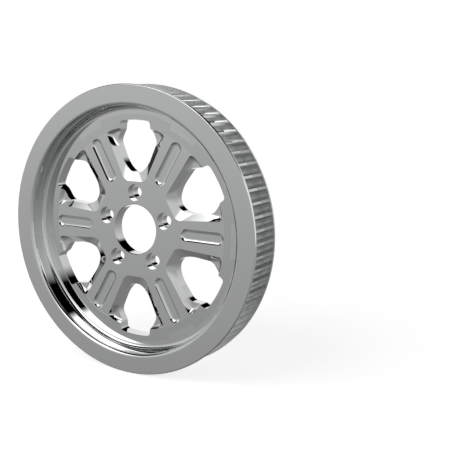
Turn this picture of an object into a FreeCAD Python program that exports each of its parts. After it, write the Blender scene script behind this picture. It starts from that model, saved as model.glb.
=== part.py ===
# Rear drive belt pulley, machined from one billet. Lengths in millimetres, angles in degrees.
# The spin axis is Y, the dressed face looks towards -Y and +Z is up.
# The origin lies on the axis, in the rear face of the hub that seats on the wheel.

import math
import os

import FreeCAD
import Part

os.makedirs("parts", exist_ok=True)
V = FreeCAD.Vector
ORIGIN = V(0, 0, 0)
AXIS = V(0, 1, 0)

# Driving dimensions. A depth is measured back from the front face of the rim.

TEETH = 70
BELT_PITCH = 14.0
PITCH_LINE_OFFSET = 1.397   # belt pitch line above the tooth crest
GROOVE_DEPTH = 5.95
GROOVE_HALF_WIDTH = 5.75    # at the crest
FLANK_ANGLE = 22.0          # groove flank from the radial line
RIM_WIDTH = 45.0
LIP_RADIUS = 160.0          # both lips that keep the belt on
FRONT_LIP = 2.8
REAR_LIP = 3.6
LIP_CHAMFER = 0.7

FACE_INNER_RADIUS = 141.2   # where the flat rim face ends
LIP_FILLET = 4.3
FLOOR_FILLET = 5.0
HUB_DEPTH = 20.7            # spokes, hub and dish floor lie in this plane
HUB_THICKNESS = 14.0
REAR_WALL_RADIUS = 139.0
REAR_BEVEL = 3.0

RING_HEIGHT = 0.3           # raised ring over the hub plane
RING_INNER = 113.7
RING_NOTCH = 121.4          # outer radius over a spoke
RING_TAB = 127.8            # outer radius over a window
TAB_HALF_ANGLE = 21.9
TAB_CORNER = 0.9            # corner chamfer

WINDOWS = 6
SPOKE_HALF_WIDTH = 15.1     # at SPOKE_AT from the axis
SPOKE_AT = 57.5
SPOKE_FLARE = 4.0
SIDE_SLOPE = 28.0           # recess sides, down from the spoke face
HUB_END = 53.9              # recess edge nearest the hub
HUB_END_SLOPE = 22.0
RECESS_DEPTH = 4.3
EAR_CORNER = 5.4

TIP_AT = 63.0               # opening: its point nearest the axis
TIP_RADIUS = 14.4
TIP_ANGLE = 48.0            # flank direction where the tip arc ends
FLANK_RADIUS = 40.3
SIDE_ANGLE = 23.5
SHOULDER_AT = 97.8
SHOULDER_RADIUS = 11.0
NECK_ANGLE = 25.9
NECK_AT = 110.7
NECK_RADIUS = 5.0
CROWN_ANGLE = 5.7
CROWN_TOP = 121.4
CROWN_CORNER = 4.0

SLOT_INNER = 60.1
SLOT_OUTER = 113.0
SLOT_HALF_WIDTH = 7.0
SLOT_DEPTH = 2.0
SLOT_CUTTER = 5.5           # corner radius of the slot cutter

BORE_RADIUS = 28.0
BORE_CHAMFER = 0.6
BOLTS = 5
BOLT_CIRCLE = 82.55
BOLT_RADIUS = 6.0
COUNTERBORE_RADIUS = 9.65
COUNTERBORE_DEPTH = 4.5

SEAT_DEPTH = HUB_DEPTH + HUB_THICKNESS
CREST = TEETH * BELT_PITCH / (2.0 * math.pi) - PITCH_LINE_OFFSET


def plane_y(depth):
    """Y of the plane at a depth."""
    return depth - SEAT_DEPTH


HUB_Y = plane_y(HUB_DEPTH)


def turned_point(radius, depth):
    """Point of a turned profile."""
    return V(radius, plane_y(depth), 0)


def polar(radius, angle, y):
    """Point at an angle about the axis, counted from +X towards +Z."""
    t = math.radians(angle)
    return V(radius * math.cos(t), y, radius * math.sin(t))


def line(a, b):
    return Part.LineSegment(a, b).toShape()


def arc(a, b, c):
    return Part.Arc(a, b, c).toShape()


def quarter_round(centre_radius, centre_depth, size, start):
    """Quarter circle in two arcs, from the angle start onwards; 0 points out, 90 points back."""
    points = []
    for k in range(5):
        t = math.radians(start + 22.5 * k)
        points.append(turned_point(centre_radius + size * math.cos(t), centre_depth + size * math.sin(t)))
    return [arc(*points[0:3]), arc(*points[2:5])]


def cylinder(radius, y0, y1, x=0.0, z=0.0):
    return Part.makeCylinder(radius, y1 - y0, V(x, y0, z), AXIS)


def prism(edges, y0, y1):
    """Solid between two planes from a closed outline that lies in the first."""
    return Part.Face(Part.Wire(edges)).extrude(V(0, y1 - y0, 0))


def round_array(shape, count):
    """Copies of a shape spread evenly about the axis, as one compound."""
    copies = []
    for k in range(count):
        turned_copy = shape.copy()
        turned_copy.rotate(ORIGIN, AXIS, 360.0 * k / count)
        copies.append(turned_copy)
    return Part.makeCompound(copies)


def upright_edges(shape, x, z):
    """Edges along Y that pass through (x, z) or its mirror image (-x, z)."""
    found = []
    for e in shape.Edges:
        p = e.Vertexes[0].Point
        q = e.Vertexes[-1].Point
        upright = abs(p.x - q.x) + abs(p.z - q.z) < 1e-6
        if upright and abs(abs(p.x) - x) < 0.05 and abs(p.z - z) < 0.05:
            found.append(e)
    return found


# Turned body: rim with both lips, dished front, web and hub with its bore.

wall = FACE_INNER_RADIUS - LIP_FILLET
floor_edge = wall - FLOOR_FILLET
bore_edge = BORE_RADIUS + BORE_CHAMFER
lip_edge = LIP_RADIUS - LIP_CHAMFER
floor_round = quarter_round(floor_edge, HUB_DEPTH - FLOOR_FILLET, FLOOR_FILLET, 0.0)
lip_round = quarter_round(FACE_INNER_RADIUS, LIP_FILLET, LIP_FILLET, 180.0)
corners = [
    turned_point(FACE_INNER_RADIUS, 0),
    turned_point(lip_edge, 0),
    turned_point(LIP_RADIUS, LIP_CHAMFER),
    turned_point(LIP_RADIUS, RIM_WIDTH - LIP_CHAMFER),
    turned_point(lip_edge, RIM_WIDTH),
    turned_point(REAR_WALL_RADIUS, RIM_WIDTH),
    turned_point(REAR_WALL_RADIUS, SEAT_DEPTH + REAR_BEVEL),
    turned_point(REAR_WALL_RADIUS - REAR_BEVEL, SEAT_DEPTH),
    turned_point(bore_edge, SEAT_DEPTH),
    turned_point(BORE_RADIUS, SEAT_DEPTH - BORE_CHAMFER),
    turned_point(BORE_RADIUS, HUB_DEPTH + BORE_CHAMFER),
    turned_point(bore_edge, HUB_DEPTH),
    turned_point(floor_edge, HUB_DEPTH),
]
profile = [line(a, b) for a, b in zip(corners, corners[1:])]
profile += floor_round
profile.append(line(turned_point(wall, HUB_DEPTH - FLOOR_FILLET), turned_point(wall, LIP_FILLET)))
profile += lip_round
body = Part.Face(Part.Wire(Part.__sortEdges__(profile))).revolve(ORIGIN, AXIS, 360)

# Raised ring: a flat band whose outer edge steps in over each spoke.

ring_low = HUB_Y + 1.0
ring_high = HUB_Y - RING_HEIGHT
ring_edges = []
for k in range(WINDOWS):
    mid = 30.0 + 60.0 * k
    a = mid - TAB_HALF_ANGLE
    b = mid + TAB_HALF_ANGLE
    c = a + 60.0
    tab = [polar(RING_TAB, t, ring_high) for t in (a, mid, b)]
    notch = [polar(RING_NOTCH, t, ring_high) for t in (b, mid + 30.0, c)]
    ring_edges.append(line(polar(RING_NOTCH, a, ring_high), tab[0]))
    ring_edges.append(arc(*tab))
    ring_edges.append(line(tab[2], notch[0]))
    ring_edges.append(arc(*notch))
ring = prism(ring_edges, ring_high, ring_low)
steps = []
for k in range(WINDOWS):
    for angle in (30.0 - TAB_HALF_ANGLE, 30.0 + TAB_HALF_ANGLE):
        for radius in (RING_NOTCH, RING_TAB):
            p = polar(radius, angle + 60.0 * k, 0)
            steps += [e for e in upright_edges(ring, abs(p.x), p.z) if e.Vertexes[0].Point.x * p.x > 0]
ring = ring.makeChamfer(TAB_CORNER, steps)
body = body.fuse(ring.cut(cylinder(RING_INNER, ring_high - 1.0, ring_low + 1.0)))

# Toothed band: one cutter shaped like the air round the teeth, between the lips.
# A groove is five flats round its rolling circle, which keeps the repeated faces few.
# A land lies on the +X axis.

step = 360.0 / TEETH
flank = math.radians(FLANK_ANGLE)
reach = GROOVE_HALF_WIDTH * math.cos(flank) - GROOVE_DEPTH * math.sin(flank)
bottom_radius = reach / (1.0 - math.sin(flank))
bottom_centre = CREST - GROOVE_DEPTH + bottom_radius
turn = 0.25 * (math.pi - 2.0 * flank)
corner_angle = math.degrees(math.asin(GROOVE_HALF_WIDTH / CREST))
band_front = plane_y(FRONT_LIP)
band_rear = plane_y(RIM_WIDTH - REAR_LIP)
tooth_outline = []
for k in range(TEETH):
    middle = math.radians((k + 0.5) * step)
    out = V(math.cos(middle), 0, math.sin(middle))
    across = V(-math.sin(middle), 0, math.cos(middle))
    centre = out * bottom_centre + V(0, band_front, 0)
    tooth_outline.append(polar(CREST, (k + 0.5) * step - corner_angle, band_front))
    for n in range(4):
        t = flank + (n + 0.5) * turn
        size = bottom_radius / math.cos(0.5 * turn)
        tooth_outline.append(centre - across * (size * math.cos(t)) - out * (size * math.sin(t)))
    tooth_outline.append(polar(CREST, (k + 0.5) * step + corner_angle, band_front))
toothed = Part.Face(Part.makePolygon(tooth_outline + tooth_outline[:1]))
toothed = toothed.extrude(V(0, band_rear - band_front, 0))
air = cylinder(LIP_RADIUS + 8.0, band_front, band_rear).cut(toothed)
body = body.cut(air)

# Window recess, made at the top window: sides along the spokes and an end at the hub, all sloping.


def recess_corner(depth, z):
    """Right-hand recess side at height z, at a depth below the spoke face."""
    side = 60.0 + SPOKE_FLARE
    foot = polar(SPOKE_AT, 60.0, 0) + polar(SPOKE_HALF_WIDTH, 150.0, 0)
    foot += polar(depth / math.tan(math.radians(SIDE_SLOPE)), side + 90.0, 0)
    along = polar(1.0, side, 0)
    return foot + along * ((z - foot.z) / along.z)


def recess_level(depth):
    """Four corners of the recess at a depth below the spoke face."""
    low = recess_corner(depth, HUB_END + depth / math.tan(math.radians(HUB_END_SLOPE)))
    high = recess_corner(depth, 130.0)
    y = HUB_Y + depth
    return [V(-low.x, y, low.z), V(low.x, y, low.z), V(high.x, y, high.z), V(-high.x, y, high.z)]


upper = recess_level(-3.0)
lower = recess_level(RECESS_DEPTH)
faces = [Part.Face(Part.makePolygon(level + level[:1])) for level in (upper, lower)]
for k in range(4):
    n = (k + 1) % 4
    faces.append(Part.Face(Part.makePolygon([upper[k], upper[n], lower[n], lower[k], upper[k]])))
recess = Part.Solid(Part.Shell(faces))
limit_low = recess_corner(-0.1, 40.0)
limit_high = recess_corner(-0.1, 150.0)
limit_corners = [(-limit_low.x, limit_low.z), (limit_low.x, limit_low.z)]
limit_corners += [(limit_high.x, limit_high.z), (-limit_high.x, limit_high.z)]
limit_points = [V(x, upper[0].y, z) for x, z in limit_corners]
limit = Part.Face(Part.makePolygon(limit_points + limit_points[:1])).extrude(V(0, 10.0, 0))
limit = limit.common(cylinder(RING_INNER, plane_y(0), plane_y(60.0)))
ears = [e for e in limit.Edges if abs(e.Vertexes[0].Point.x - e.Vertexes[-1].Point.x) < 1e-6]
ears = [e for e in ears if abs(e.Vertexes[0].Point.x) > 30.0 and e.Vertexes[0].Point.z > 60.0]
limit = limit.makeFillet(EAR_CORNER, ears)
recess = recess.common(limit)

# Opening through the window: round point, curved flanks, shoulders, neck and crown.


def outline_point(x, z):
    return V(x, plane_y(-5.0), z)


tip = math.radians(TIP_ANGLE)
side = math.radians(SIDE_ANGLE)
half_tip = 0.5 * (math.pi / 2 + tip)
mean = 0.5 * (tip + side)
tip_centre = TIP_AT + TIP_RADIUS
tip_end = (TIP_RADIUS * math.cos(tip), tip_centre - TIP_RADIUS * math.sin(tip))
flank_centre = (tip_end[0] - FLANK_RADIUS * math.cos(tip), tip_end[1] + FLANK_RADIUS * math.sin(tip))
tip_mid = (TIP_RADIUS * math.cos(half_tip), tip_centre - TIP_RADIUS * math.sin(half_tip))
flank_x, flank_z = flank_centre
flank_mid = (flank_x + FLANK_RADIUS * math.cos(mean), flank_z - FLANK_RADIUS * math.sin(mean))
flank_end = (flank_x + FLANK_RADIUS * math.cos(side), flank_z - FLANK_RADIUS * math.sin(side))
shoulder_x = flank_end[0] + (SHOULDER_AT - flank_end[1]) * math.tan(side)
neck_x = shoulder_x - (NECK_AT - SHOULDER_AT) * math.tan(math.radians(NECK_ANGLE))
crown_slope = math.tan(math.radians(CROWN_ANGLE))
crown_foot = neck_x + NECK_AT * crown_slope
bend = 1.0 + crown_slope ** 2
crown_z = (crown_foot * crown_slope + math.sqrt(CROWN_TOP ** 2 * bend - crown_foot ** 2)) / bend
crown_x = crown_foot - crown_z * crown_slope
right = [
    arc(outline_point(0, TIP_AT), outline_point(*tip_mid), outline_point(*tip_end)),
    arc(outline_point(*tip_end), outline_point(*flank_mid), outline_point(*flank_end)),
    line(outline_point(*flank_end), outline_point(shoulder_x, SHOULDER_AT)),
    line(outline_point(shoulder_x, SHOULDER_AT), outline_point(neck_x, NECK_AT)),
    line(outline_point(neck_x, NECK_AT), outline_point(crown_x, crown_z)),
]
left = [e.mirror(ORIGIN, V(1, 0, 0)) for e in right]
crown = arc(outline_point(crown_x, crown_z), outline_point(0, CROWN_TOP), outline_point(-crown_x, crown_z))
opening = prism(Part.__sortEdges__(right + left + [crown]), plane_y(-5.0), plane_y(65.0))
opening = opening.makeFillet(SHOULDER_RADIUS, upright_edges(opening, shoulder_x, SHOULDER_AT))
opening = opening.makeFillet(NECK_RADIUS, upright_edges(opening, neck_x, NECK_AT))
opening = opening.makeFillet(CROWN_CORNER, upright_edges(opening, crown_x, crown_z))

# Spoke slot, made along +X: flat floor and the rounded sides that its cutter leaves.

slot_floor = HUB_Y + SLOT_DEPTH
slot_top = HUB_Y - 0.5
floor_half = SLOT_HALF_WIDTH - math.sqrt(SLOT_CUTTER ** 2 - (SLOT_CUTTER - SLOT_DEPTH) ** 2)
sweep = math.acos((SLOT_CUTTER - slot_floor + slot_top) / SLOT_CUTTER)
slot_start = SLOT_INNER + SLOT_HALF_WIDTH
slot_end = SLOT_OUTER - SLOT_HALF_WIDTH


def slot_section(x):
    """Half section of the slot in the plane at x."""
    points = [V(x, slot_floor, 0)]
    for t in (0.0, 0.5 * sweep, sweep):
        rise = SLOT_CUTTER * (1 - math.cos(t))
        points.append(V(x, slot_floor - rise, floor_half + SLOT_CUTTER * math.sin(t)))
    points.append(V(x, slot_top, 0))
    a, b, c, d, e = points
    return Part.Face(Part.Wire([line(a, b), arc(b, c, d), line(d, e), line(e, a)]))


inner_end = slot_section(slot_start).revolve(V(slot_start, 0, 0), AXIS, -180)
outer_end = slot_section(slot_end).revolve(V(slot_end, 0, 0), AXIS, 180)
half_run = slot_section(slot_start).extrude(V(slot_end - slot_start, 0, 0))
other_half = half_run.mirror(ORIGIN, V(0, 0, 1))
slot = half_run.fuse([other_half, inner_end, outer_end]).removeSplitter()

# Counterbored bolt hole, made at the top of the hub.

bolt_z = BOLT_CIRCLE / 2.0
bolt = cylinder(BOLT_RADIUS, HUB_Y - 1.0, 5.0, 0, bolt_z)
bolt = bolt.fuse(cylinder(COUNTERBORE_RADIUS, HUB_Y - 1.0, HUB_Y + COUNTERBORE_DEPTH, 0, bolt_z))

# All cuts, then the finished solid.

for cutter, count in ((recess, WINDOWS), (opening, WINDOWS), (slot, WINDOWS), (bolt, BOLTS)):
    body = body.cut(round_array(cutter, count))
pulley = body.Solids[0]
print("solids", len(body.Solids), "valid", pulley.isValid(), "cm3", round(pulley.Volume / 1000.0, 1))
print("crest radius", round(CREST, 2), "groove bottom radius", round(bottom_radius, 2))
pulley.exportStep("parts/pulley.step")
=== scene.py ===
# Chromed rear drive belt pulley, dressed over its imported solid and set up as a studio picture.

import math

import bmesh
import bpy
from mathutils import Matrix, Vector


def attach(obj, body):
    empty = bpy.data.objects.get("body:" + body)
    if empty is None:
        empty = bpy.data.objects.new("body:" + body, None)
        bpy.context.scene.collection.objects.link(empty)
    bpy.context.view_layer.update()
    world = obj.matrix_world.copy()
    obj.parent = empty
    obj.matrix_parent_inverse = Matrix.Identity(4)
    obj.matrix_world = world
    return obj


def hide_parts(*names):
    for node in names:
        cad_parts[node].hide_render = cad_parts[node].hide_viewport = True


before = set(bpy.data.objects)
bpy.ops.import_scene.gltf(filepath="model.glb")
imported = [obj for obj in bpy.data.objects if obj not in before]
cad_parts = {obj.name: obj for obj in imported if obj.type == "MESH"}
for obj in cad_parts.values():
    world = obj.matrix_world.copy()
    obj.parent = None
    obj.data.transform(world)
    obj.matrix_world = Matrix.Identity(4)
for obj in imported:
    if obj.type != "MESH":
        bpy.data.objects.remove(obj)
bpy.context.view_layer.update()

# Turned rim. The billet is turned first: a flat front face, a rounded lip, the dish wall with a
# round into its floor, one lip each side of the belt track and a plain recess behind. It is buffed
# and plated with nickel and chrome.

MM = 0.001                  # sizes are in millimetres, the scene in metres
AROUND = 840                # faces round the axis, a multiple of every repeat
SEAT_DEPTH = 34.7           # depth of the hub's rear face behind the rim's front face
HUB_DEPTH = 20.7            # spokes, hub and dish floor lie in this plane
LIP_RADIUS = 160.0
LIP_EDGE = 1.2
FACE_INNER = 141.2
LIP_ROUND = 4.3
FLOOR_ROUND = 5.0
FLOOR_EDGE = FACE_INNER - LIP_ROUND - FLOOR_ROUND
TRACK_FRONT = 2.8           # belt track, from one lip to the other
TRACK_REAR = 41.4
RIM_WIDTH = 45.0
REAR_WALL = 139.0
REAR_BEVEL = 3.0
FLOOR_STEPS = 24            # faces across each round of the profile
LIP_STEPS = 14
EDGE_STEPS = 8


def polar(radius, angle):
    """Point in the plane of the wheel; the angle runs from +X towards +Z, in degrees."""
    t = math.radians(angle)
    return radius * math.cos(t), radius * math.sin(t)


def at(point, depth):
    """Point of the part, from a point in the plane of the wheel and a depth."""
    return point[0], depth - SEAT_DEPTH, point[1]


def arc_points(centre, radius, start, end, steps):
    """Points along an arc, both ends included, angles in degrees."""
    points = []
    for k in range(steps + 1):
        x, z = polar(radius, start + (end - start) * k / steps)
        points.append((centre[0] + x, centre[1] + z))
    return points


def strip(first, second):
    """Four-sided faces between two rows of points."""
    return [[first[k], first[k + 1], second[k + 1], second[k]] for k in range(len(first) - 1)]


def mesh_of(name, faces):
    """Mesh from faces given by their corners in millimetres; equal corners are shared."""
    index = {}
    corners = []
    polygons = []
    for face in faces:
        polygon = []
        for point in face:
            key = tuple(round(c, 3) + 0.0 for c in point)
            if key not in index:
                index[key] = len(corners)
                corners.append([c * MM for c in point])
            if index[key] not in polygon:
                polygon.append(index[key])
        if len(polygon) > 2:
            polygons.append(polygon)
    mesh = bpy.data.meshes.new(name)
    mesh.from_pydata(corners, [], polygons)
    return mesh


def turned(profile):
    """Faces of a surface of revolution from (radius, depth) pairs."""
    rows = []
    for radius, depth in profile:
        rows.append([at(polar(radius, 360.0 * k / AROUND), depth) for k in range(AROUND + 1)])
    faces = []
    for first, second in zip(rows, rows[1:]):
        faces += strip(first, second)
    return faces


front_profile = arc_points((FLOOR_EDGE, HUB_DEPTH - FLOOR_ROUND), FLOOR_ROUND, 90, 0, FLOOR_STEPS)
front_profile += arc_points((FACE_INNER, LIP_ROUND), LIP_ROUND, 180, 270, LIP_STEPS)
front_profile += arc_points((LIP_RADIUS - LIP_EDGE, LIP_EDGE), LIP_EDGE, 270, 360, EDGE_STEPS)
front_profile.append((LIP_RADIUS, TRACK_FRONT))
rear_profile = [(LIP_RADIUS, TRACK_REAR)]
rear_profile += arc_points((LIP_RADIUS - LIP_EDGE, RIM_WIDTH - LIP_EDGE), LIP_EDGE, 0, 90, EDGE_STEPS)
rear_profile.append((REAR_WALL, RIM_WIDTH))
rear_profile.append((REAR_WALL, SEAT_DEPTH + REAR_BEVEL))
rear_profile.append((REAR_WALL - REAR_BEVEL, SEAT_DEPTH))
rim_mesh = mesh_of("rim", turned(front_profile) + turned(rear_profile))


def linear(code):
    """Linear colour from an sRGB hex code."""
    values = [int(code[k:k + 2], 16) / 255.0 for k in (1, 3, 5)]
    return [v / 12.92 if v <= 0.04045 else ((v + 0.055) / 1.055) ** 2.4 for v in values] + [1.0]


def add_node(tree, kind, inputs=None, **settings):
    """Adds a node with its settings, and sets or links its inputs."""
    node = tree.nodes.new(kind)
    for name, value in settings.items():
        setattr(node, name, value)
    for name, value in (inputs or {}).items():
        if isinstance(value, bpy.types.NodeSocket):
            tree.links.new(value, node.inputs[name])
        else:
            node.inputs[name].default_value = value
    return node


def empty_material(name):
    """Material with an empty node tree."""
    material = bpy.data.materials.new(name)
    material.use_nodes = True
    material.node_tree.nodes.clear()
    return material


# Polished chrome plate: an even, cold mirror. Buffing leaves cloudy patches some 15 mm across in
# which the mirror is a little softer.
CHROME_COLOUR = "#dcdddd"
BUFFING_PATCH = 15.0

chrome = empty_material("polished_chrome_plate")
tree = chrome.node_tree
place = add_node(tree, "ShaderNodeTexCoord")
cloud = add_node(tree, "ShaderNodeTexNoise", {
    "Vector": place.outputs["Object"], "Scale": 1.0 / (BUFFING_PATCH * MM), "Detail": 3.0,
})
soften = add_node(tree, "ShaderNodeMapRange", {
    "Value": cloud.outputs["Fac"], "From Min": 0.3, "From Max": 0.7, "To Min": 0.006, "To Max": 0.02,
})
shader = add_node(tree, "ShaderNodeBsdfPrincipled", {
    "Base Color": linear(CHROME_COLOUR), "Metallic": 1.0, "Roughness": soften.outputs["Result"],
})
add_node(tree, "ShaderNodeOutputMaterial", {"Surface": shader.outputs["BSDF"]})

# Belt track. Round-bottomed grooves are hobbed across the rim between the lips. No buffing wheel
# reaches in there, so the plate over the cutter marks stays satin. One groove is repeated.

TEETH = 70
CREST = 154.573             # radius of the lands between the grooves
GROOVE_DEPTH = 5.95
GROOVE_HALF_WIDTH = 5.55    # at the crest
FLANK = 22.0                # slope of the groove's sides, in degrees
TIP_ROUND = 0.4
TIP_ROUND_STEPS = 6
GROOVE_BOTTOM_STEPS = 7


def round_array_tree():
    """Geometry nodes that repeat a piece round the spin axis."""
    tree = bpy.data.node_groups.new("round_array", "GeometryNodeTree")
    tree.interface.new_socket("Geometry", in_out="INPUT", socket_type="NodeSocketGeometry")
    tree.interface.new_socket("Copies", in_out="INPUT", socket_type="NodeSocketInt")
    tree.interface.new_socket("Finish", in_out="INPUT", socket_type="NodeSocketMaterial")
    tree.interface.new_socket("Geometry", in_out="OUTPUT", socket_type="NodeSocketGeometry")
    given = add_node(tree, "NodeGroupInput")
    index = add_node(tree, "GeometryNodeInputIndex")
    turns = add_node(tree, "ShaderNodeMath", {
        0: index.outputs["Index"], 1: given.outputs["Copies"],
    }, operation="DIVIDE")
    angle = add_node(tree, "ShaderNodeMath", {
        0: turns.outputs["Value"], 1: 2.0 * math.pi,
    }, operation="MULTIPLY")
    spin = add_node(tree, "ShaderNodeCombineXYZ", {"Y": angle.outputs["Value"]})
    spots = add_node(tree, "GeometryNodePoints", {"Count": given.outputs["Copies"]})
    copies = add_node(tree, "GeometryNodeInstanceOnPoints", {
        "Points": spots.outputs[0],
        "Instance": given.outputs["Geometry"],
        "Rotation": spin.outputs["Vector"],
    })
    real = add_node(tree, "GeometryNodeRealizeInstances", {"Geometry": copies.outputs["Instances"]})
    dressed = add_node(tree, "GeometryNodeSetMaterial", {
        "Geometry": real.outputs["Geometry"], "Material": given.outputs["Finish"],
    })
    add_node(tree, "NodeGroupOutput", {"Geometry": dressed.outputs["Geometry"]})
    return tree


round_array = round_array_tree()
array_input = {s.name: s.identifier for s in round_array.interface.items_tree if s.in_out == "INPUT"}


def arrayed(name, faces, copies, finish):
    """Plain mesh of a piece that is repeated round the axis."""
    holder = bpy.data.objects.new(name, mesh_of(name, faces))
    bpy.context.scene.collection.objects.link(holder)
    array = holder.modifiers.new("round_array", "NODES")
    array.node_group = round_array
    array[array_input["Copies"]] = copies
    array[array_input["Finish"]] = finish
    evaluated = holder.evaluated_get(bpy.context.evaluated_depsgraph_get())
    mesh = bpy.data.meshes.new_from_object(evaluated)
    bpy.data.objects.remove(holder)
    return mesh


# Satin chrome plate: the same plate over hobbed metal, whose faint cutter marks run across the rim
# some 1.5 mm apart and blur the mirror to a sheen. Its colour is painted greyer towards the bottoms
# of the grooves, as painted shade in them.
MARK_SPACING = 1.5
MARK_STRETCH = 20.0         # length of a mark for its width
# Painted shade: the colour at the bottoms of the grooves.
GROOVE_SHADE_COLOUR = "#bcbdbd"

satin = empty_material("satin_chrome_plate")
tree = satin.node_tree
place = add_node(tree, "ShaderNodeTexCoord")
along = add_node(tree, "ShaderNodeVectorMath", {
    0: place.outputs["Object"], 1: (1.0, 1.0 / MARK_STRETCH, 1.0),
}, operation="MULTIPLY")
marks = add_node(tree, "ShaderNodeTexNoise", {
    "Vector": along.outputs["Vector"], "Scale": 1.0 / (MARK_SPACING * MM), "Detail": 1.0,
})
blur = add_node(tree, "ShaderNodeMapRange", {
    "Value": marks.outputs["Fac"], "From Min": 0.3, "From Max": 0.7, "To Min": 0.04, "To Max": 0.07,
}, name="blur")
outwards = add_node(tree, "ShaderNodeVectorMath", {
    0: place.outputs["Object"], 1: (1.0, 0.0, 1.0),
}, operation="MULTIPLY")
radius = add_node(tree, "ShaderNodeVectorMath", {0: outwards.outputs["Vector"]}, operation="LENGTH")
# Painted shade: the colour darkens from the crest of the lands down to the bottoms of the grooves.
groove_height = add_node(tree, "ShaderNodeMapRange", {
    "Value": radius.outputs["Value"], "From Min": (CREST - GROOVE_DEPTH) * MM, "From Max": CREST * MM,
})
groove_shade = add_node(tree, "ShaderNodeValToRGB", {"Fac": groove_height.outputs["Result"]})
groove_shade.color_ramp.elements[0].color = linear(GROOVE_SHADE_COLOUR)
groove_shade.color_ramp.elements[1].color = linear(CHROME_COLOUR)
shader = add_node(tree, "ShaderNodeBsdfPrincipled", {
    "Base Color": groove_shade.outputs["Color"], "Metallic": 1.0, "Roughness": blur.outputs["Result"],
})
add_node(tree, "ShaderNodeOutputMaterial", {"Surface": shader.outputs["BSDF"]})

pitch = 360.0 / TEETH
flank = math.radians(FLANK)
root_reach = GROOVE_HALF_WIDTH * math.cos(flank) - GROOVE_DEPTH * math.sin(flank)
root_radius = root_reach / (1.0 - math.sin(flank))
root_centre = CREST - GROOVE_DEPTH + root_radius
tip_across = GROOVE_HALF_WIDTH + TIP_ROUND * (1.0 - math.sin(flank)) / math.cos(flank)
half_groove = arc_points((-tip_across, CREST - TIP_ROUND), TIP_ROUND, 90, FLANK, TIP_ROUND_STEPS)
half_groove += arc_points((0, root_centre), root_radius, 180 + FLANK, 270, GROOVE_BOTTOM_STEPS)
groove_across = half_groove + [(-a, r) for a, r in reversed(half_groove[:-1])]
cos_mid, sin_mid = polar(1.0, pitch / 2)
groove = [polar(CREST, 0.0)]
for a, r in groove_across:
    groove.append((r * cos_mid - a * sin_mid, r * sin_mid + a * cos_mid))
groove.append(polar(CREST, pitch))
lip_edge = arc_points((0, 0), LIP_RADIUS, pitch, 0, round(AROUND / TEETH))
tooth_faces = strip([at(p, TRACK_FRONT) for p in groove], [at(p, TRACK_REAR) for p in groove])
track_mesh = arrayed("belt_track", tooth_faces, TEETH, satin)

# Turned chrome plate: the insides of the lips keep their fine turning marks, which scatter the light.
# As a copy of the satin plate it keeps that painted shade, greyer where the lips reach down to the
# groove bottoms.
scored = satin.copy()
scored.name = "turned_chrome_plate"
turning_marks = scored.node_tree.nodes["blur"]
turning_marks.inputs["To Min"].default_value = 0.2
turning_marks.inputs["To Max"].default_value = 0.26
lip_faces = [[at(p, depth) for p in groove + lip_edge] for depth in (TRACK_FRONT, TRACK_REAR)]
lip_mesh = arrayed("lip_insides", lip_faces, TEETH, scored)

# Web. The plate behind the dish is milled through into six windows, each with a sunk floor that slopes
# from the spokes to a shaped opening. A round-nosed cutter leaves a long slot down each spoke. Half a
# sector is drawn, from a spoke on +X to the window axis, then mirrored and repeated.

WINDOWS = 6
WINDOW_ANGLE = 180.0 / WINDOWS  # from the spoke on +X to the window axis
HUB_RADIUS = 52.4           # the web is drawn from here outwards, the hub from here inwards
SPOKE_HALF_WIDTH = 15.1     # at SPOKE_AT from the axis
SPOKE_AT = 57.5
SPOKE_FLARE = 4.0           # angles and slopes are in degrees
SIDE_SLOPE = 28.0
HUB_END = 53.9              # edge of the sunk floor nearest the hub
HUB_END_SLOPE = 22.0
RECESS_DEPTH = 4.3
CORNER_BLEND = 2.6          # the two slopes run into each other here, more so lower down
CORNER_GROWTH = 0.6
FLOOR_BLEND = 0.8
EAR_SLOPE = 48.0            # the side steepens on its way into the ear
EAR_FROM = 93.0
EAR_TO = 107.0
EAR_BLEND = 10.0
RING_SLOPE = 66.0           # wall along the ring, with a cove at its foot
RING_BLEND = 3.4
TIP_AT = 63.0               # opening, from its point nearest the axis to its crown
TIP_RADIUS = 14.4
TIP_ANGLE = 48.0
FLANK_RADIUS = 40.3
SIDE_ANGLE = 23.5
SHOULDER_AT = 97.8
SHOULDER_RADIUS = 11.0
NECK_ANGLE = 25.9
NECK_AT = 110.7
NECK_RADIUS = 5.0
CROWN_ANGLE = 5.7
CROWN_TOP = 121.4
CROWN_CORNER = 4.0
RING_INNER = 113.7          # the sunk floor ends at the raised ring
SLOT_INNER = 60.1
SLOT_OUTER = 113.0
SLOT_HALF_WIDTH = 7.0
SLOT_DEPTH = 2.3
SLOT_CUTTER = 4.8
CURVE_STEPS = 30            # points along a curve before they are spread evenly
NECK_STEPS = 8
CROWN_STEPS = 10
FOOT_STEPS = 20             # faces round the sunk floor: hub end, side, ear and ring
SIDE_STEPS = 44
EAR_STEPS = 16
RING_STEPS = 14
FLOOR_ROWS = 22             # faces down the sunk floor, crowded towards its upper edge
ROW_CROWDING = 1.5
SPOKE_FOOT_STEPS = 8
SLOT_ROWS = 7
SLOT_END_STEPS = 12
MARGIN = 1.0                # the upper edge is looked for from this far outside it
EAR_LENGTH = 6.0            # the ear's stretch along the side, then round the ring in degrees
EAR_TURN = 3.0
TOUCH = 1e-4                # a point this near to the ring lies on it
HALVINGS = 45               # of a stretch, when a place on it is looked for


def window_point(across, along):
    """Point in the plane of the wheel, from its place in the window."""
    out = Vector(polar(along, WINDOW_ANGLE)) + Vector(polar(across, WINDOW_ANGLE - 90.0))
    return out.x, out.y


def rounded_corner(corner, before, after, radius, steps):
    """Arc in a corner between two directions, angles in degrees."""
    half = math.radians(after - before) / 2
    length = radius * math.tan(abs(half))
    start = Vector(corner) - length * Vector(polar(1.0, before))
    turn = 90.0 if half > 0 else -90.0
    centre = start + Vector(polar(radius, before + turn))
    return arc_points(centre, radius, before - turn, after - turn, steps)


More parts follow.
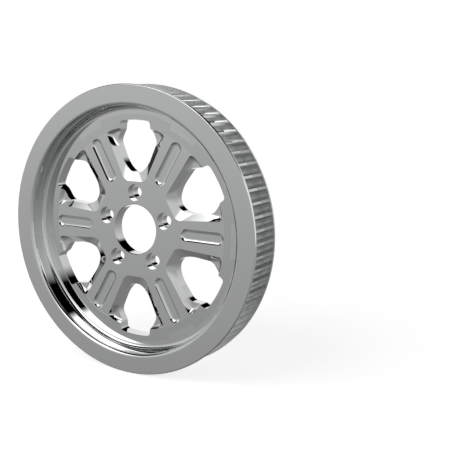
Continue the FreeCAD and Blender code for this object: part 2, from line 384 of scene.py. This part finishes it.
def split_where(points, measure):
    """Adds a point to a row wherever a measure of place passes through zero."""
    row = [points[0]]
    for a, b in zip(points, points[1:]):
        low, high = Vector(a), Vector(b)
        if measure(low) * measure(high) < 0:
            for halving in range(HALVINGS):
                middle = (low + high) / 2
                if measure(middle) * measure(low) > 0:
                    low = middle
                else:
                    high = middle
            row.append((high.x, high.y))
        row.append(b)
    return row


def side_distance(point):
    """How far a point lies inside the upper edge of the sunk floor's side."""
    offset = Vector(point) - Vector((SPOKE_AT, SPOKE_HALF_WIDTH))
    return offset.dot(Vector(polar(1.0, SPOKE_FLARE + 90.0)))


def hub_distance(point):
    """How far a point lies outwards from the upper edge of the sunk floor's hub end."""
    return Vector(point).dot(Vector(polar(1.0, WINDOW_ANGLE))) - HUB_END


def side_hub_corner(side, hub):
    """Where a line along the sunk floor's side meets a line along its hub end."""
    start = Vector((SPOKE_AT, SPOKE_HALF_WIDTH)) + side * Vector(polar(1.0, SPOKE_FLARE + 90.0))
    along = Vector(polar(1.0, SPOKE_FLARE))
    rise = along.dot(Vector(polar(1.0, WINDOW_ANGLE)))
    return tuple(start + along * ((hub - hub_distance(start)) / rise))


def side_at_radius(side, radius):
    """Where a line along the sunk floor's side reaches a radius."""
    start = Vector((SPOKE_AT, SPOKE_HALF_WIDTH)) + side * Vector(polar(1.0, SPOKE_FLARE + 90.0))
    along = Vector(polar(1.0, SPOKE_FLARE))
    run = start.dot(along)
    return tuple(start + along * (math.sqrt(run * run - start.dot(start) + radius * radius) - run))


def radius_of(point):
    """Distance from the axis."""
    return math.hypot(point[0], point[1])


def angle_of(point):
    """Angle about the axis, in degrees."""
    return math.degrees(math.atan2(point[1], point[0]))


def smaller(a, b, size):
    """Smaller of two depths, rounded over where they are nearly equal."""
    near = max(0.0, size - abs(a - b)) / size
    return min(a, b) - near * near * size / 4


def below(point):
    """Depth under the spoke face, less than zero outside the sunk floor."""
    run = (Vector(point).dot(Vector(polar(1.0, SPOKE_FLARE))) - EAR_FROM) / (EAR_TO - EAR_FROM)
    steep = min(1.0, max(0.0, run))
    steep = steep * steep * (3.0 - 2.0 * steep)
    slope = SIDE_SLOPE + steep * (EAR_SLOPE - SIDE_SLOPE)
    side = side_distance(point) * math.tan(math.radians(slope))
    ring = (RING_INNER - radius_of(point)) * math.tan(math.radians(RING_SLOPE))
    side = smaller(side, ring, EAR_BLEND)
    end = hub_distance(point) * math.tan(math.radians(HUB_END_SLOPE))
    corner_blend = CORNER_BLEND + CORNER_GROWTH * max(0.0, min(side, end))
    floor_blend = FLOOR_BLEND + steep * (RING_BLEND - FLOOR_BLEND)
    return smaller(smaller(side, end, corner_blend), RECESS_DEPTH, floor_blend)


def upper_edge(outside, inside):
    """Where the sunk floor begins on the way between two points."""
    low, high = Vector(outside), Vector(inside)
    for halving in range(HALVINGS):
        middle = (low + high) / 2
        if below(middle) < 0:
            low = middle
        else:
            high = middle
    return high.x, high.y


def spread(points, count):
    """Evenly spaced points along a row of points."""
    lengths = [0.0]
    for a, b in zip(points, points[1:]):
        lengths.append(lengths[-1] + (Vector(b) - Vector(a)).length)
    row = []
    k = 0
    for n in range(count + 1):
        wanted = lengths[-1] * n / count
        while k < len(points) - 2 and lengths[k + 1] < wanted:
            k += 1
        part = (wanted - lengths[k]) / (lengths[k + 1] - lengths[k])
        row.append(tuple(Vector(points[k]).lerp(Vector(points[k + 1]), part)))
    return row


# Half outline of the opening, from its tip round to the middle of its crown.
tip_row = arc_points((0, TIP_AT + TIP_RADIUS), TIP_RADIUS, -90, -TIP_ANGLE, CURVE_STEPS)
flank_centre = Vector(tip_row[-1]) - Vector(polar(FLANK_RADIUS, -TIP_ANGLE))
flank_row = arc_points(flank_centre, FLANK_RADIUS, -TIP_ANGLE, -SIDE_ANGLE, CURVE_STEPS)
flank_end = flank_row[-1]
side_run = math.tan(math.radians(SIDE_ANGLE))
neck_run = math.tan(math.radians(NECK_ANGLE))
shoulder = (flank_end[0] + (SHOULDER_AT - flank_end[1]) * side_run, SHOULDER_AT)
neck = (shoulder[0] - (NECK_AT - SHOULDER_AT) * neck_run, NECK_AT)
shoulder_row = rounded_corner(shoulder, 90 - SIDE_ANGLE, 90 + NECK_ANGLE, SHOULDER_RADIUS, CURVE_STEPS)
flank_row.append(shoulder_row[0])
crown_side = Vector(polar(1.0, 90 + CROWN_ANGLE))
start = Vector(neck) + Vector(polar(CROWN_CORNER, 180 + CROWN_ANGLE))
run = start.dot(crown_side)
reach = math.sqrt(run * run - start.dot(start) + (CROWN_TOP - CROWN_CORNER) ** 2) - run
corner_centre = start + reach * crown_side
crown_turn = angle_of(corner_centre)
upper_row = [shoulder_row[-1]]
upper_row += rounded_corner(neck, 90 + NECK_ANGLE, 90 + CROWN_ANGLE, NECK_RADIUS, NECK_STEPS)
upper_row += arc_points(corner_centre, CROWN_CORNER, CROWN_ANGLE, crown_turn, CROWN_STEPS)
upper_row += arc_points((0, 0), CROWN_TOP, crown_turn, 90, CROWN_STEPS)[1:]
upper_row = [window_point(*p) for p in upper_row]
upper_row = split_where(upper_row, lambda p: radius_of(p) - RING_INNER)
at_ring = next(k for k, p in enumerate(upper_row) if radius_of(p) > RING_INNER - TOUCH)
crown_row = upper_row[at_ring:]
opening = []
for row, count in ((tip_row, FOOT_STEPS), (flank_row, SIDE_STEPS), (shoulder_row, EAR_STEPS)):
    opening += spread([window_point(*p) for p in row], count)[:-1]
opening += spread(upper_row[:at_ring + 1], RING_STEPS)

# Rows down the sunk floor, from its edge on the spoke face to the opening.
search_radius = RING_INNER + MARGIN
corner = side_hub_corner(-MARGIN, -MARGIN)
ear_start = side_at_radius(-MARGIN, RING_INNER - EAR_LENGTH)
ear_corner = side_at_radius(-MARGIN, search_radius)
ear_end = polar(search_radius, angle_of(ear_corner) + EAR_TURN)
foot_row = [window_point(0, HUB_END - MARGIN), corner]
side_row = [corner, ear_start]
ear_row = [ear_start, ear_corner, ear_end]
ring_row = arc_points((0, 0), search_radius, angle_of(ear_end), angle_of(crown_row[0]), CURVE_STEPS)
outside = []
for row, count in ((foot_row, FOOT_STEPS), (side_row, SIDE_STEPS), (ear_row, EAR_STEPS)):
    outside += spread(row, count)[:-1]
outside += spread(ring_row, RING_STEPS)
floor_top = [upper_edge(far, near) for far, near in zip(outside, opening)]
floor_rows = [[at(p, HUB_DEPTH) for p in floor_top]]
for k in range(1, FLOOR_ROWS + 1):
    part = (k / FLOOR_ROWS) ** ROW_CROWDING
    row = [Vector(far).lerp(Vector(near), part) for far, near in zip(floor_top, opening)]
    floor_rows.append([at(p, HUB_DEPTH + max(0.0, below(p))) for p in row])
on_ring = next(k for k, p in enumerate(floor_top) if radius_of(p) > RING_INNER - TOUCH)
spoke_foot = arc_points((0, 0), RING_INNER, 0.0, angle_of(floor_top[on_ring]), SPOKE_FOOT_STEPS)

# Slot rows, from its floor up to the spoke face.
slot_rows = []
floor_half = SLOT_HALF_WIDTH - math.sqrt(SLOT_CUTTER ** 2 - (SLOT_CUTTER - SLOT_DEPTH) ** 2)
sweep = math.degrees(math.acos((SLOT_CUTTER - SLOT_DEPTH) / SLOT_CUTTER))
for k in range(SLOT_ROWS + 1):
    across, lift = polar(SLOT_CUTTER, sweep * k / SLOT_ROWS - 90)
    half = floor_half + across
    row = arc_points((SLOT_INNER + SLOT_HALF_WIDTH, 0), half, 180, 90, SLOT_END_STEPS)
    row += arc_points((SLOT_OUTER - SLOT_HALF_WIDTH, 0), half, 90, 0, SLOT_END_STEPS)
    slot_rows.append([at(p, HUB_DEPTH + SLOT_DEPTH - SLOT_CUTTER - lift) for p in row])
slot_rows[-1] = [(x, HUB_DEPTH - SEAT_DEPTH, z) for x, y, z in slot_rows[-1]]

# Faces of the half sector, between the hub, the dish and the rear recess.
sector_steps = round(AROUND / (2 * WINDOWS))
hub_edge = arc_points((0, 0), HUB_RADIUS, WINDOW_ANGLE, 0, sector_steps)
floor_edge = arc_points((0, 0), FLOOR_EDGE, WINDOW_ANGLE, 0, sector_steps)
rear_edge = arc_points((0, 0), REAR_WALL - REAR_BEVEL, WINDOW_ANGLE, 0, sector_steps)
spoke_face = slot_rows[-1] + [at(p, HUB_DEPTH) for p in spoke_foot]
spoke_face += [at(p, HUB_DEPTH) for p in floor_top[on_ring - 1::-1] + hub_edge]
web_faces = [spoke_face, slot_rows[0]]
for rows in (slot_rows, floor_rows):
    for first, second in zip(rows, rows[1:]):
        web_faces += strip(first, second)
rear_row = [at(p, SEAT_DEPTH) for p in opening + crown_row[1:]]
web_faces += strip(floor_rows[-1] + [at(p, HUB_DEPTH) for p in crown_row[1:]], rear_row)
web_faces.append(rear_row + [at(p, SEAT_DEPTH) for p in rear_edge + hub_edge[::-1]])

# Raised ring. A flat band that the mill leaves standing round the windows, by a hair's breadth; its
# outer edge steps in over each spoke. It is part of the same billet, and its top is lapped.

RING_HEIGHT = 0.1
RING_NOTCH = 121.4          # outer radius over a spoke
RING_TAB = 127.8            # outer radius over a window
TAB_HALF_ANGLE = 21.9
TAB_CORNER = 1.6
NOTCH_STEPS = 6
TAB_CORNER_STEPS = 5
TAB_STEPS = 24

tab_angle = WINDOW_ANGLE - TAB_HALF_ANGLE
notch_end = tab_angle - math.degrees(TAB_CORNER / RING_NOTCH)
tab_start = tab_angle + math.degrees(TAB_CORNER / RING_TAB)
notch_corner = polar(RING_NOTCH, tab_angle)
tab_corner = polar(RING_TAB, tab_angle)
ring_edge = arc_points((0, 0), RING_NOTCH, 0.0, notch_end, NOTCH_STEPS)
ring_edge += rounded_corner(notch_corner, tab_angle + 90, tab_angle, TAB_CORNER, TAB_CORNER_STEPS)[1:]
ring_edge += rounded_corner(tab_corner, tab_angle, tab_angle + 90, TAB_CORNER, TAB_CORNER_STEPS)
ring_edge += arc_points((0, 0), RING_TAB, tab_start, WINDOW_ANGLE, TAB_STEPS)[1:]
ring_top = HUB_DEPTH - RING_HEIGHT
ring_inside = spoke_foot + floor_top[on_ring + 1:] + crown_row[1:]
ring_faces = [[at(p, ring_top) for p in ring_inside + ring_edge[::-1]]]
ring_faces += strip([at(p, ring_top) for p in ring_inside], [at(p, HUB_DEPTH) for p in ring_inside])
ring_faces += strip([at(p, ring_top) for p in ring_edge], [at(p, HUB_DEPTH) for p in ring_edge])
web_faces.append([at(p, HUB_DEPTH) for p in ring_edge + floor_edge])


def with_mirror(faces, flip):
    """Faces and their mirror images."""
    return faces + [[tuple(c * f for c, f in zip(p, flip)) for p in reversed(face)] for face in faces]


web_mesh = arrayed("web", with_mirror(web_faces, (1, 1, -1)), WINDOWS, chrome)

# Lapped chrome plate: the same mirror, a shade darker where lapping has thinned the plate.
LAPPED_COLOUR = "#d4d5d5"

lapped = chrome.copy()
lapped.name = "lapped_chrome_plate"
lapped.node_tree.nodes["Principled BSDF"].inputs["Base Color"].default_value = linear(LAPPED_COLOUR)
ring_mesh = arrayed("raised_ring", with_mirror(ring_faces, (1, 1, -1)), WINDOWS, lapped)

# Hub. Bored through for the axle and drilled for five bolts, whose heads sit in counterbores. Its
# rear face seats on the wheel. One bolt hole with its share of the hub is repeated.

BOLTS = 5
BOLT_CIRCLE = 82.55
BOLT_RADIUS = 6.0
COUNTERBORE_RADIUS = 9.65
COUNTERBORE_DEPTH = 4.5
BORE_RADIUS = 28.0
BORE_CHAMFER = 0.6
BOLT_STEPS = 30             # faces round half a bolt hole

share = 180.0 / BOLTS
divisions = round(AROUND / (2 * BOLTS))


def hub_arc(radius, depth):
    """Arc about the axis over half of one bolt's share of the hub."""
    return [at(p, depth) for p in arc_points((0, 0), radius, 90 - share, 90, divisions)]


def bolt_arc(radius, depth):
    """Half circle about the bolt hole at the top."""
    return [at(p, depth) for p in arc_points((0, BOLT_CIRCLE / 2), radius, -90, 90, BOLT_STEPS)]


bore_rows = [
    hub_arc(BORE_RADIUS + BORE_CHAMFER, HUB_DEPTH),
    hub_arc(BORE_RADIUS, HUB_DEPTH + BORE_CHAMFER),
    hub_arc(BORE_RADIUS, SEAT_DEPTH - BORE_CHAMFER),
    hub_arc(BORE_RADIUS + BORE_CHAMFER, SEAT_DEPTH),
]
bolt_rows = [
    bolt_arc(COUNTERBORE_RADIUS, HUB_DEPTH),
    bolt_arc(COUNTERBORE_RADIUS, HUB_DEPTH + COUNTERBORE_DEPTH),
    bolt_arc(BOLT_RADIUS, HUB_DEPTH + COUNTERBORE_DEPTH),
    bolt_arc(BOLT_RADIUS, SEAT_DEPTH),
]
hub_faces = []
for rows in (bore_rows, bolt_rows):
    for first, second in zip(rows, rows[1:]):
        hub_faces += strip(first, second)
hub_faces.append(bore_rows[0] + bolt_rows[0] + hub_arc(HUB_RADIUS, HUB_DEPTH)[::-1])
hub_faces.append(bore_rows[3] + bolt_rows[3] + hub_arc(HUB_RADIUS, SEAT_DEPTH)[::-1])
hub_mesh = arrayed("hub", with_mirror(hub_faces, (-1, 1, 1)), BOLTS, chrome)

# The whole pulley. All of it is one billet, so the cut surfaces are welded into one closed shell,
# with crisp edges between the flat faces and smooth rounds.

WELD = 0.003                # corners this near become one
CRISP_ANGLE = 16.0          # edges that turn further than this stay sharp

whole = bmesh.new()
finishes = [chrome, satin, scored, lapped]
cut_surfaces = (
    (rim_mesh, chrome), (track_mesh, satin), (lip_mesh, scored),
    (web_mesh, chrome), (ring_mesh, lapped), (hub_mesh, chrome),
)
for mesh, finish in cut_surfaces:
    first = len(whole.faces)
    whole.from_mesh(mesh)
    whole.faces.ensure_lookup_table()
    for face in whole.faces[first:]:
        face.material_index = finishes.index(finish)
    bpy.data.meshes.remove(mesh)
bmesh.ops.remove_doubles(whole, verts=whole.verts, dist=WELD * MM)
bmesh.ops.recalc_face_normals(whole, faces=whole.faces)
shell = bpy.data.meshes.new("pulley_shell")
whole.to_mesh(shell)
whole.free()
for finish in finishes:
    shell.materials.append(finish)
shell.shade_smooth()
shell.set_sharp_from_angle(angle=math.radians(CRISP_ANGLE))
holder = bpy.data.objects.new("pulley_shell", shell)
bpy.context.scene.collection.objects.link(holder)
normals = holder.modifiers.new("flat_faces", "WEIGHTED_NORMAL")
normals.keep_sharp = True
evaluated = holder.evaluated_get(bpy.context.evaluated_depsgraph_get())
finished = bpy.data.meshes.new_from_object(evaluated)
bpy.data.objects.remove(holder)
pulley = bpy.data.objects.new("chromed_pulley", finished)
bpy.context.scene.collection.objects.link(pulley)
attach(pulley, "root")
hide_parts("pulley")

# Studio. A pale floor under the rim and a white surround; the lit cards and dark flags of a product
# studio stand round it where only the metal sees them.

FLOOR_GAP = 0.2             # under the lips
FLOOR_REACH = 4000.0
PAPER_COLOUR = "#ececec"
PAPER_GLOW = 0.7            # added for the camera alone, so that lit paper is white
WHITE = "#ffffff"

floor_z = -(LIP_RADIUS + FLOOR_GAP) * MM
reach = FLOOR_REACH * MM
floor_corners = [(x * reach, y * reach, floor_z) for x, y in ((-1, -1), (1, -1), (1, 1), (-1, 1))]
floor_mesh = bpy.data.meshes.new("floor")
floor_mesh.from_pydata(floor_corners, [], [(0, 1, 2, 3)])
floor = bpy.data.objects.new("floor", floor_mesh)
bpy.context.scene.collection.objects.link(floor)

# Pale studio paper: white to the eye, with a soft shadow under the rim. The metal mirrors the studio
# below instead, which darkens underfoot.
paper = empty_material("studio_paper")
tree = paper.node_tree
ray = add_node(tree, "ShaderNodeLightPath")
seen = add_node(tree, "ShaderNodeMath", {
    0: ray.outputs["Is Camera Ray"], 1: PAPER_GLOW,
}, operation="MULTIPLY")
matt = add_node(tree, "ShaderNodeBsdfDiffuse", {"Color": linear(PAPER_COLOUR)})
glow = add_node(tree, "ShaderNodeEmission", {"Color": linear(WHITE), "Strength": seen.outputs["Value"]})
both = add_node(tree, "ShaderNodeAddShader", {0: matt.outputs["BSDF"], 1: glow.outputs["Emission"]})
add_node(tree, "ShaderNodeOutputMaterial", {"Surface": both.outputs["Shader"]})
floor_mesh.materials.append(paper)
floor.visible_glossy = False

# The surround by elevation in degrees: dark underfoot, lit round the horizon, dark overhead.
SURROUND = [
    (-72, "#3f3f3f"), (-52, "#7c7c7c"), (-30, "#959595"), (-10, "#b5b5b5"), (0, "#c8c8c8"),
    (18, "#e1e1e1"), (24, "#e1e1e1"), (31, "#000000"),
]
# Cards: azimuth from the back (+Y) towards the right, elevation, half width, half height and softness
# in degrees, then brightness. Two soft boxes light the metal, a dark flag draws the far edges of the
# slots, a grey card fills the window sides, and the white backdrop stands behind it.
CARDS = [
    ((-161, 40, 21, 15, 9), 2.2),
    ((70, 12, 22, 16, 8), 1.6),
    ((-88, -14, 22, 9, 8), 0.1),
    ((94, 52, 14, 10, 6), 0.35),
]
BACKDROP = (-37, 0, 18, 26, 5)

to_degrees = 180 / math.pi
world = bpy.data.worlds.new("studio")
bpy.context.scene.world = world
world.use_nodes = True
tree = world.node_tree
tree.nodes.clear()
place = add_node(tree, "ShaderNodeTexCoord")
parts = add_node(tree, "ShaderNodeSeparateXYZ", {"Vector": place.outputs["Generated"]})
lift = add_node(tree, "ShaderNodeMath", {0: parts.outputs["Z"]}, operation="ARCSINE")
elevation = add_node(tree, "ShaderNodeMath", {
    0: lift.outputs["Value"], 1: to_degrees,
}, operation="MULTIPLY")
bearing = add_node(tree, "ShaderNodeMath", {
    0: parts.outputs["X"], 1: parts.outputs["Y"],
}, operation="ARCTAN2")
azimuth = add_node(tree, "ShaderNodeMath", {
    0: bearing.outputs["Value"], 1: to_degrees,
}, operation="MULTIPLY")
height = add_node(tree, "ShaderNodeMapRange", {
    "Value": elevation.outputs["Value"], "From Min": -90.0, "From Max": 90.0,
})
surround = add_node(tree, "ShaderNodeValToRGB", {"Fac": height.outputs["Result"]})
stops = surround.color_ramp.elements
while len(stops) < len(SURROUND):
    stops.new(0.5)
for stop, (degrees, code) in zip(stops, SURROUND):
    stop.position = (degrees + 90.0) / 180.0
    stop.color = linear(code)


def card_mask(card):
    """One on a card of the studio, falling to zero over its soft edge."""
    card_azimuth, card_elevation, half_width, half_height, softness = card
    spans = ((azimuth, card_azimuth, half_width), (elevation, card_elevation, half_height))
    inside = []
    for direction, middle, half in spans:
        offset = add_node(tree, "ShaderNodeMath", {
            0: direction.outputs["Value"], 1: middle,
        }, operation="SUBTRACT")
        turn = add_node(tree, "ShaderNodeMath", {
            0: offset.outputs["Value"], 1: 180.0, 2: -180.0,
        }, operation="WRAP")
        away = add_node(tree, "ShaderNodeMath", {0: turn.outputs["Value"]}, operation="ABSOLUTE")
        fade = add_node(tree, "ShaderNodeMapRange", {
            "Value": away.outputs["Value"], "From Min": half, "From Max": half + softness,
            "To Min": 1.0, "To Max": 0.0,
        }, interpolation_type="SMOOTHSTEP")
        inside.append(fade.outputs["Result"])
    mask = add_node(tree, "ShaderNodeMath", {0: inside[0], 1: inside[1]}, operation="MULTIPLY")
    return mask.outputs["Value"]


level = surround.outputs["Color"]
for card, brightness in CARDS:
    lit = add_node(tree, "ShaderNodeMix", {"Factor": card_mask(card), "A": level, "B": brightness})
    level = lit.outputs["Result"]
# The camera sees white all round, and the metal sees it where the backdrop stands.
ray = add_node(tree, "ShaderNodeLightPath")
mirrored = add_node(tree, "ShaderNodeMath", {
    0: ray.outputs["Is Glossy Ray"], 1: ray.outputs["Is Transmission Ray"],
}, operation="MAXIMUM")
behind = add_node(tree, "ShaderNodeMath", {
    0: mirrored.outputs["Value"], 1: card_mask(BACKDROP),
}, operation="MULTIPLY")
white = add_node(tree, "ShaderNodeMath", {
    0: ray.outputs["Is Camera Ray"], 1: behind.outputs["Value"],
}, operation="MAXIMUM")
shown = add_node(tree, "ShaderNodeMix", {"Factor": white.outputs["Value"], "A": level, "B": 1.0})
sky = add_node(tree, "ShaderNodeBackground", {
    "Color": linear(WHITE), "Strength": shown.outputs["Result"],
})
add_node(tree, "ShaderNodeOutputWorld", {"Surface": sky.outputs["Background"]})

# Camera. A short telephoto lens a little above the axis and to the right, with the frame shifted so
# that the pulley stands left of the middle.

CAMERA_AT = (0.4965, -0.7012, 0.1496)  # in metres
CAMERA_AIM = (-0.5663, 0.8080, -0.1629)  # direction of view

camera_data = bpy.data.cameras.new("camera")
camera_data.sensor_width = 36.0
camera_data.lens = 60.39
camera_data.shift_x = 0.183
camera_data.shift_y = -0.020
camera = bpy.data.objects.new("camera", camera_data)
bpy.context.scene.collection.objects.link(camera)
camera.location = CAMERA_AT
camera.rotation_euler = Vector(CAMERA_AIM).to_track_quat("-Z", "Y").to_euler()
bpy.context.scene.camera = camera
bpy.context.scene.view_settings.view_transform = "Standard"
